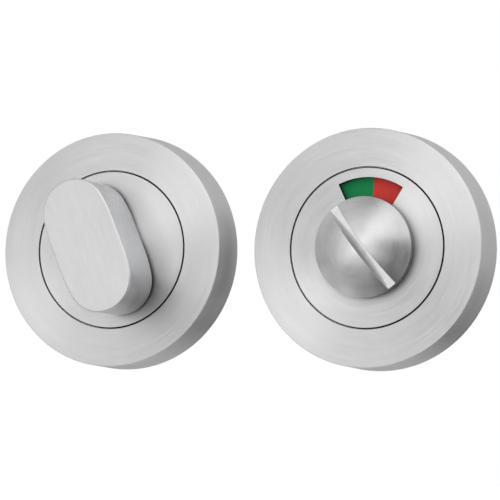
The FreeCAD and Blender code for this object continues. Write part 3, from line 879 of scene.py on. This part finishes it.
@dataclass
class ThumbTurn:
    """The knob on its neck and shank."""

    length: float = 30.11
    width: float = 15.46
    under: float = 10.8
    front: float = 23.3
    flare: float = 0.16
    nose_radius: float = 7.31
    shoulder_radius: float = 27.0
    turn: float = -23.3
    front_edge: float = 0.42
    back_edge: float = 0.05
    shank: Shank = field(default_factory=lambda: Shank(6.4, 10.9, 6.9, socket_depth=15.2))

    def build(self) -> None:
        """Make the knob and the shank; together they stand for the solid."""
        along = BrushedSteel("knob_face_steel", Lay.ALONG, turn=self.turn, lines_per_mm=3.2, relief=0.0000008)
        face_steel = replace(
            along, light=(0.60, 0.60, 0.602), dark=(0.555, 0.555, 0.557), roughness=0.42, anisotropy=0.65
        ).make()
        # lighter copy of the face's steel for the side wall: painted light; near the knob's back it turns
        # near black: painted shade for the gap under the knob
        lit_side_copy = replace(
            along, name="knob_side_painted_light", light=(0.78, 0.785, 0.80), dark=(0.72, 0.725, 0.74),
            roughness=0.24, anisotropy=0.6, shade_under=self.under + 0.22,
        ).make()
        # lighter copy of the face's steel for the rounded front edge: a painted highlight
        edge_highlight_copy = replace(
            along, name="knob_edge_painted_highlight", light=(0.74, 0.74, 0.742), dark=(0.69, 0.69, 0.692),
            roughness=0.42, anisotropy=0.4, relief=0.0000005,
        ).make()
        points, faces = self.knob_shell()
        shell = tipped(points, self.turn, 0.0), faces
        knob = make_piece("thumb_turn_knob", [shell], "inside_turn", "thumb_turn", face_steel)
        self.paint_light_by_facing(knob.data, lit_side_copy, edge_highlight_copy)
        radii, heights, outlines = self.shank.rows()
        radii = np.concatenate([[0.0], radii])
        heights = np.concatenate([[self.shank.neck_top], heights])
        outlines = np.concatenate([[0], outlines])
        rows = turned_rows(radii, heights, outlines, self.shank.flat)
        shell = tipped(rows, self.turn, 0.0), grid_faces(len(radii), rows.shape[1], False, True)
        # painted shade: the neck and shank turn dark grey from just above the knob's underside back, for the
        # shadow in the gap
        shank_steel = BrushedSteel(
            "thumb_turn_shank_steel", Lay.ROUND, roughness=0.3, anisotropy=0.6, painted_shade=(0.25, 0.25, 0.25),
            shade_under=self.under + 0.2,
        ).make()
        make_piece("thumb_turn_shank", [shell], "inside_turn", "thumb_turn", shank_steel)

    def paint_light_by_facing(self, mesh: bpy.types.Mesh, side: bpy.types.Material, edge: bpy.types.Material) -> None:
        """Give the side wall with the back and the rounded front edge lighter copies of the steel: painted
        light.

        A face whose normal turns less than 11 degrees from the front keeps the first finish, one
        that turns more than 70 degrees gets the side's, and those between get the edge's.

        Args:
            mesh: The knob's mesh.
            side: Lighter copy for the side wall and the back: painted light, with painted shade near the
                back.
            edge: Lighter copy for the rounded front edge: a painted highlight.
        """
        normals = np.empty(len(mesh.polygons) * 3)
        mesh.polygons.foreach_get("normal", normals)
        forward = -normals.reshape(-1, 3)[:, 1]
        mesh.materials.append(side)
        mesh.materials.append(edge)
        # faces are sorted by facing, so the side and the edge get the painted-light copies
        index = np.where(forward > 0.98, 0, np.where(forward > 0.34, 2, 1))
        mesh.polygons.foreach_set("material_index", index.astype(np.int32))

    def outline(self, count: int = 320) -> tuple:
        """Closed outline of the knob, straight sides joined to flat shoulder arcs and round noses.

        Each quarter is a straight side, an arc of the shoulder radius whose centre lies on the
        other side of the axis, and an arc of the nose radius, all tangent; the quarter is mirrored
        about both axes. Points are spread evenly along the length.

        Args:
            count: Number of points, a multiple of 4.

        Returns:
            (points, inward normals, places on the spine), each of shape (count, 2).
        """
        half = self.width / 2
        nose_centre = self.length / 2 - self.nose_radius
        inset = self.shoulder_radius - half
        rise = math.sqrt((self.shoulder_radius - self.nose_radius) ** 2 - inset**2)
        level = nose_centre - rise
        meet = math.atan2(rise, inset)
        lengths = np.array([level, self.shoulder_radius * meet, self.nose_radius * (math.pi / 2 - meet)])
        ends = np.concatenate([[0.0], np.cumsum(lengths)])
        way = np.linspace(0.0, ends[-1], count // 4 + 1)
        on_side = way < ends[1]
        on_shoulder = ~on_side & (way < ends[2])
        shoulder_angle = (way - ends[1]) / self.shoulder_radius
        nose_angle = meet + (way - ends[2]) / self.nose_radius
        angle = np.where(on_side, 0.0, np.where(on_shoulder, shoulder_angle, nose_angle))
        radius = np.where(on_shoulder | on_side, self.shoulder_radius, self.nose_radius)
        centre_x = np.where(on_shoulder | on_side, -inset, 0.0)
        centre_z = np.where(on_side, way, np.where(on_shoulder, level, nose_centre))
        x = centre_x + radius * np.cos(angle)
        z = centre_z + radius * np.sin(angle)
        normal = np.stack([-np.cos(angle), -np.sin(angle)], axis=-1)
        quarter = np.stack([x, z], axis=-1)
        flips = ((1, 1, 1), (-1, 1, -1), (-1, -1, 1), (1, -1, -1))
        parts = []
        normals = []
        for flip_x, flip_z, order in flips:
            sign = np.array([flip_x, flip_z])
            parts.append((quarter * sign)[::order][:-1])
            normals.append((normal * sign)[::order][:-1])
        points = np.vstack(parts)
        reach = nose_centre * 0.8
        spine = np.stack([np.zeros(len(points)), np.clip(points[:, 1], -reach, reach)], axis=-1)
        return points, np.vstack(normals), spine

    def knob_shell(self) -> tuple:
        """Closed knob: rows of the outline, drawn in by the edge roundings and then to the spine.

        Row k lies at outline + inset * inward normal for the edge roundings, quarter circles, and
        at a share of the way from there to the spine for the two flat faces. The flare widens the
        rows evenly from the back to the front.

        Returns:
            (points, faces).
        """
        points, normals, spine = self.outline()
        arc = np.linspace(0.0, np.pi / 2, 11)
        back_inset = self.back_edge * (1 - np.sin(arc))
        back_height = self.under + self.back_edge * (1 - np.cos(arc))
        front_inset = self.front_edge * (1 - np.cos(arc))
        front_height = self.front - self.front_edge * (1 - np.sin(arc))
        inset = np.concatenate([[self.back_edge + 0.08], back_inset, front_inset, [self.front_edge + 0.08]])
        height = np.concatenate([[self.under], back_height, front_height, [self.front]])
        rise = (height - self.under) / (self.front - self.under)
        walls = points[None] + (inset - self.flare * rise)[:, None, None] * normals[None]
        shares = np.linspace(0.0, 1.0, 7)[1:, None, None]
        back_face = (walls[0] * (1 - shares) + spine * shares)[::-1]
        front_face = walls[-1] * (1 - shares) + spine * shares
        flat = np.concatenate([back_face, walls, front_face])
        heights = np.concatenate([np.full(6, self.under), height, np.full(6, self.front)])
        y = np.broadcast_to(-heights[:, None], flat.shape[:2])
        shell = np.stack([flat[..., 0], y, flat[..., 1]], axis=-1)
        return shell, grid_faces(len(flat), len(points), False, True)


@dataclass
class CoinRelease:
    """Domed release with its coin slot, neck, keyed step and shank."""

    centre: float = 59.5
    radius: float = 10.84
    rim_under: float = 10.47
    rim_top: float = 12.47
    crown: float = 3.22
    slot: float = 2.0
    turn: float = -38.7
    rim_edge: float = 0.12
    slot_edge: float = 0.09
    shank: Shank = field(default_factory=lambda: Shank(7.0, 10.47, 8.0, step=(5.9, 6.9)))

    def build(self) -> None:
        """Make the release as one piece of three closed shells and let it replace the solid."""
        # painted shade: from just under the rim's top edge back, the rim's side, underside and neck turn dark
        # grey
        steel = BrushedSteel(
            "release_steel", Lay.ROUND, centre=self.centre,
            light=(0.665, 0.665, 0.667), dark=(0.53, 0.53, 0.532), roughness=0.35, anisotropy=0.62,
            lines_per_mm=3.0, relief=0.000004, painted_shade=(0.3, 0.3, 0.3), shade_under=self.rim_top - 0.15,
        ).make()
        disc = rounded([
            (self.radius - 3.0, self.rim_top, 0.0),
            (self.radius, self.rim_top, self.rim_edge),
            (self.radius, self.rim_under, 0.15),
            (self.shank.neck_radius, self.rim_under, 0.0),
        ])
        radii, heights, outlines = self.shank.rows()
        radii = np.concatenate([[0.0], disc[:, 0], radii[1:]])
        heights = np.concatenate([[self.rim_top], disc[:, 1], heights[1:]])
        outlines = np.concatenate([np.zeros(1 + len(disc)), outlines[1:]])
        rows = turned_rows(radii, heights, outlines, self.shank.flat)
        shells = [(rows, grid_faces(len(radii), rows.shape[1], False, True))]
        shells += [self.crown_shell(1.0), self.crown_shell(-1.0)]
        shells = [(tipped(points, self.turn, self.centre), faces) for points, faces in shells]
        make_piece("coin_release_turned", shells, "outside_turn", "coin_release", steel)

    def crown_shell(self, side: float, rows: int = 129, columns: int = 49) -> tuple:
        """Closed half of the crown beside the slot.

        Seen from the front it is the part of a disc beyond the slot. Row v runs across at
        z = R * sin(b) with b from -b0 to b0, from the slot to the rim, and x goes from the slot's
        wall to sqrt(R^2 - z^2). The height is the sphere's, less a quarter circle within the edge
        rounding at the slot. A wall goes down at the slot and a flat floor closes the shell.

        Args:
            side: 1 for the half on +X, -1 for the other.
            rows: Steps along the slot.
            columns: Steps across.

        Returns:
            (points, faces).
        """
        reach = self.radius - self.rim_edge * 0.6
        half = self.slot / 2
        limit = math.acos(half / reach)
        bend = np.linspace(-1.0, 1.0, rows)[:, None] * limit
        z = reach * np.sin(bend)
        length = reach * np.cos(bend) - half
        edge = np.minimum(self.slot_edge, length * 0.25)
        turn = np.linspace(0.0, np.pi / 2, 6)[None, :]
        near = edge * (1 - np.cos(turn))
        drop = edge * (1 - np.sin(turn))
        share = np.linspace(0.0, 1.0, columns)[None, 1:]
        far = edge + (length - edge) * share
        x = half + np.concatenate([near[:, :1], near, far], axis=1)
        sink = np.concatenate([drop[:, :1], drop, np.zeros_like(far)], axis=1)
        ball = (self.radius**2 + self.crown**2) / (2 * self.crown)
        base = self.rim_top + self.crown - ball
        level = base + np.sqrt(ball**2 - x**2 - z**2)
        height = np.maximum(level - sink, self.rim_top - 0.02)
        height[:, 0] = self.rim_top - 0.02
        floor_x = x[:, ::-1][:, :1]
        x = np.concatenate([x, floor_x], axis=1)
        height = np.concatenate([height, np.full_like(floor_x, self.rim_top - 0.02)], axis=1)
        z = np.broadcast_to(z, x.shape)
        points = np.stack([side * x, -height, z], axis=-1)
        return points, grid_faces(rows, x.shape[1], False, True)


@dataclass
class Indicator:
    """Disc that turns with the release, and its two enamelled fields."""

    green: tuple = (0.014, 0.285, 0.090)
    green_deep: tuple = (0.011, 0.255, 0.080)
    red: tuple = (0.74, 0.062, 0.050)
    red_deep: tuple = (0.66, 0.052, 0.042)

    def dress(self, nodes: dict) -> None:
        """Give the fields their enamel.

        Args:
            nodes: CAD nodes by name.
        """
        put_on(nodes["green_field"], Enamel("green_enamel", self.green, self.green_deep).make())
        put_on(nodes["red_field"], Enamel("red_enamel", self.red, self.red_deep).make())


@dataclass
class Mechanism:
    """Hidden pieces of both halves, which keep their solids."""

    def dress(self, nodes: dict) -> None:
        """Give each hidden piece its finish.

        Args:
            nodes: CAD nodes by name.
        """
        zinc = Casting("cast_zinc").make()
        plastic = Acetal("acetal").make()
        spring = DrawnSteel("spring_steel", (0.42, 0.43, 0.46), (0.24, 0.25, 0.28), 0.3).make()
        plain = DrawnSteel("plated_steel", (0.74, 0.74, 0.72), (0.60, 0.60, 0.585), 0.28).make()
        finishes = {
            "base_rose": zinc,
            "bush": plastic,
            "spring_washer": spring,
            "circlip": spring,
            "thrust_washer": plain,
        }
        for side in ("inside", "outside"):
            for kind, finish in finishes.items():
                put_on(nodes[f"{side}_{kind}"], finish)
        put_on(nodes["spindle"], plain)
        put_on(nodes["spindle_pin"], spring)
        put_on(nodes["indicator_disc"], plain)
        log.info("hidden pieces dressed")


def put_on(node: bpy.types.Object, finish: bpy.types.Material) -> None:
    """Give a CAD node one material.

    Args:
        node: The node.
        finish: Its material.
    """
    node.data.materials.clear()
    node.data.materials.append(finish)


def heading(azimuth: float | np.ndarray, elevation: float | np.ndarray) -> np.ndarray:
    """Unit directions away from the object: (sin a cos e, -cos a cos e, sin e).

    Args:
        azimuth: Degrees to the right of straight in front.
        elevation: Degrees above level.

    Returns:
        Array whose last direction is x, y, z.
    """
    a, e = np.radians(azimuth), np.radians(elevation)
    return np.stack([np.sin(a) * np.cos(e), -np.cos(a) * np.cos(e), np.sin(e)], axis=-1)


@dataclass
class Studio:
    """Camera, floor, lamps and surroundings."""

    camera_place: tuple = (0.296225, -0.682159, -0.048890)
    azimuth: float = 21.3987
    elevation: float = -3.8496
    roll: float = 1.10
    focal_pixels: float = 3346.4
    frame_pixels: float = 500.0
    sensor: float = 36.0
    floor_level: float = -0.058
    ambient: float = 1.0
    floor_glow: float = 0.3
    lamp_distance: float = 0.95
    card_distance: float = 1.2
    middle: tuple = (0.03, -0.01, 0.0)

    def build(self) -> None:
        """Set up everything that isn't the object."""
        bpy.context.scene.view_settings.view_transform = "Standard"
        self.camera()
        self.floor()
        self.world()
        self.lamps()
        self.cards()
        log.info("studio")

    def camera(self) -> None:
        """Camera at the photograph's place, turned by azimuth, elevation and roll."""
        r = math.radians(self.roll)
        back = Vector(heading(self.azimuth, self.elevation))
        right = (-back).cross(Vector((0, 0, 1))).normalized()
        up = right.cross(-back)
        turned_right = right * math.cos(r) + up * math.sin(r)
        turned_up = up * math.cos(r) - right * math.sin(r)
        data = bpy.data.cameras.new("camera")
        data.sensor_width = self.sensor
        data.lens = self.focal_pixels / self.frame_pixels * self.sensor
        data.clip_start = 0.01
        data.clip_end = 20.0
        camera = bpy.data.objects.new("camera", data)
        basis = Matrix((turned_right, turned_up, back)).transposed().to_4x4()
        camera.matrix_world = Matrix.Translation(self.camera_place) @ basis
        bpy.context.scene.collection.objects.link(camera)
        bpy.context.scene.camera = camera

    def floor(self) -> None:
        """Plain white floor below the camera's sight, one square quad."""
        reach = 3.0
        mesh = bpy.data.meshes.new("floor")
        corners = [(-reach, -reach), (reach, -reach), (reach, reach), (-reach, reach)]
        mesh.from_pydata([(x, y, self.floor_level) for x, y in corners], [], [(0, 1, 2, 3)])
        sheet = Sheet("floor_white")
        sheet.surface(
            Base_Color=(0.82, 0.82, 0.82, 1.0),
            Roughness=0.9,
            Specular_IOR_Level=0.1,
            Emission_Color=(1.0, 1.0, 1.0, 1.0),
            Emission_Strength=sheet.math("MULTIPLY", sheet.seen(), self.floor_glow),
        )
        mesh.materials.append(sheet.material)
        floor = bpy.data.objects.new("floor", mesh)
        floor.visible_glossy = False
        bpy.context.scene.collection.objects.link(floor)

    def world(self) -> None:
        """White surroundings: strength 1 for what is seen and the ambient strength for what lights."""
        sheet = Sheet("studio", bpy.data.worlds)
        bpy.context.scene.world = sheet.material
        background = sheet.node("ShaderNodeBackground")
        background.inputs["Color"].default_value = (1.0, 1.0, 1.0, 1.0)
        more = sheet.math("MULTIPLY", sheet.seen(), 1.0 - self.ambient)
        sheet.feed(background.inputs["Strength"], sheet.math("ADD", more, self.ambient))
        output = sheet.node("ShaderNodeOutputWorld")
        sheet.feed(output.inputs["Surface"], background.outputs[0])

    def lamps(self) -> None:
        """Large soft lamps: a fill from the left, a key from above and one from the right."""
        self.lamp("fill", -18.0, 2.0, 0.36, 0.43)
        self.lamp("key", 10.0, 31.0, 0.5, 0.53)
        self.lamp("side", 63.0, 20.0, 0.45, 0.27)

    def cards(self) -> None:
        """Grey cards round the object, which only gloss shows, for the darker tones of the steel."""
        self.card("card_left", (-76.0, -46.0), (-38.0, 44.0), 0.5)
        self.card("card_low_left", (-46.0, 0.0), (-75.0, -16.0), 0.33)
        self.card("card_low", (0.0, 38.0), (-40.0, -14.0), 0.01)
        self.card("card_low_right", (38.0, 78.0), (-40.0, -14.0), 0.3)
        self.card("card_bottom", (0.0, 78.0), (-75.0, -40.0), 0.15)
        self.card("card_low_side", (78.0, 114.0), (-85.0, -50.0), 0.4)
        self.card("card_right", (17.0, 46.0), (-14.0, 12.0), 0.02)
        self.card("card_right_side", (46.0, 62.0), (-14.0, 12.0), 0.35)
        self.card("card_top", (-76.0, 10.0), (48.0, 85.0), 0.38)
        self.card("card_low_behind", (114.0, 250.0), (-50.0, -8.0), 0.15)
        self.card("card_behind", (114.0, 250.0), (-8.0, 20.0), 0.35)
        self.card("card_high_behind", (114.0, 250.0), (20.0, 70.0), 0.42)

    def card(self, name: str, azimuths: tuple, elevations: tuple, grey: float, steps: int = 12) -> None:
        """One curved card about the middle of the object, which only gloss shows.

        Its points lie at one distance from the middle, in the directions on a grid between the two
        azimuths and the two elevations.

        Args:
            name: Its name.
            azimuths: From and to, degrees to the right of straight in front.
            elevations: From and to, degrees above level.
            grey: Its brightness, where 1 is white.
            steps: Steps of the grid either way.
        """
        grid = np.meshgrid(np.linspace(*azimuths, steps), np.linspace(*elevations, steps))
        points = np.array(self.middle) + self.card_distance * heading(*grid)
        mesh = bpy.data.meshes.new(name)
        faces = grid_faces(steps, steps, False, False)
        mesh.from_pydata(points.reshape(-1, 3).tolist(), [], faces.tolist())
        sheet = Sheet(f"{name}_grey")
        sheet.surface(
            Base_Color=(0.0, 0.0, 0.0, 1.0),
            Specular_IOR_Level=0.0,
            Emission_Color=(1.0, 1.0, 1.0, 1.0),
            Emission_Strength=grey,
        )
        mesh.materials.append(sheet.material)
        card = bpy.data.objects.new(name, mesh)
        for ray in ("camera", "diffuse", "transmission", "shadow"):
            setattr(card, f"visible_{ray}", False)
        bpy.context.scene.collection.objects.link(card)

    def lamp(self, name: str, azimuth: float, elevation: float, size: float, power: float) -> None:
        """One square area lamp that faces the middle of the object.

        Args:
            name: Its name.
            azimuth: Degrees to the right of straight in front.
            elevation: Degrees above level.
            size: Its side in metres.
            power: Its power in watts.
        """
        aim = Vector(self.lamp_distance * heading(azimuth, elevation))
        data = bpy.data.lights.new(name, "AREA")
        data.size = size
        data.energy = power
        lamp = bpy.data.objects.new(name, data)
        lamp.location = Vector(self.middle) + aim
        lamp.rotation_euler = (-aim).to_track_quat("-Z", "Y").to_euler()
        bpy.context.scene.collection.objects.link(lamp)


def main() -> None:
    """Build the lock's looks in order."""
    logging.basicConfig(level=logging.INFO, format="%(name)s: %(message)s")
    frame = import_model()
    nodes = frame["nodes"]
    Studio().build()
    Rose("inside", 0.0, BrushedSteel("inside_rose_steel", Lay.ROUND)).build()
    Rose(
        "outside", 59.5, BrushedSteel("outside_rose_steel", Lay.ROUND, centre=59.5),
        neck_hole=7.25, window=(9.37, 15.12, 28.8), window_turn=3.0,
    ).build()
    ThumbTurn().build()
    CoinRelease().build()
    Indicator().dress(nodes)
    Mechanism().dress(nodes)


if __name__ == "__main__":
    main()
